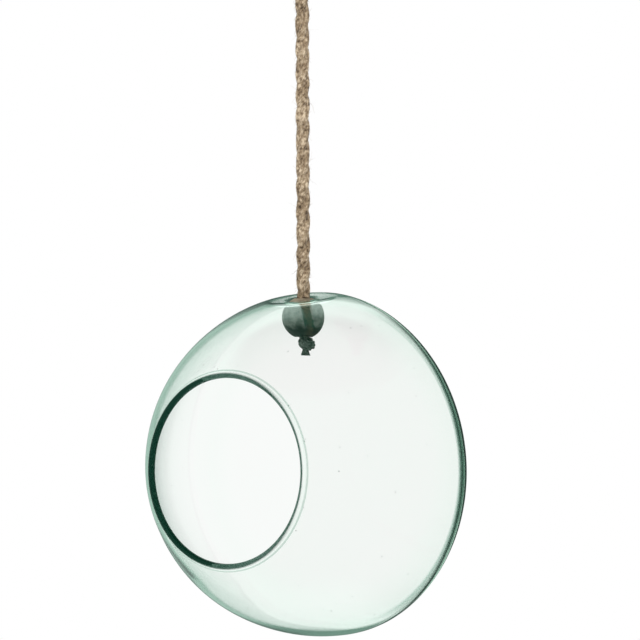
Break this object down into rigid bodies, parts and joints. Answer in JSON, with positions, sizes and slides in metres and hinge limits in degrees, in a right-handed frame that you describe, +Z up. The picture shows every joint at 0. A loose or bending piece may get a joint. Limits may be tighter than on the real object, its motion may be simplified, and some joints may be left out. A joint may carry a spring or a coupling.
{
  "type": "hanging glass ball vase",
  "caption": "Pale green blown glass ball with a wide side mouth and a flattened back, hung by a jute rope held inside by a wooden bead and a knot.",
  "frame": {"origin": "where a hook bears in the hanging loop, on the line of the rope", "axes": "+Z up along the rope, -Y towards the mouth of the ball, X across it"},
  "size_m": [0.22, 0.11, 0.5392],
  "materials": {
    "green_glass": "clear pale green blown glass, fire polished",
    "bead_wood": "bare turned wood, weathered grey brown",
    "jute": "natural laid jute with loose fibres"
  },
  "bodies": {
    "root": {"glass_ball": "green_glass", "stopper_bead": "bead_wood", "stopper_knot": "jute", "hanging_rope": "jute", "loop_knot": "jute", "rope_eye": "jute"}
  },
  "joints": []
}
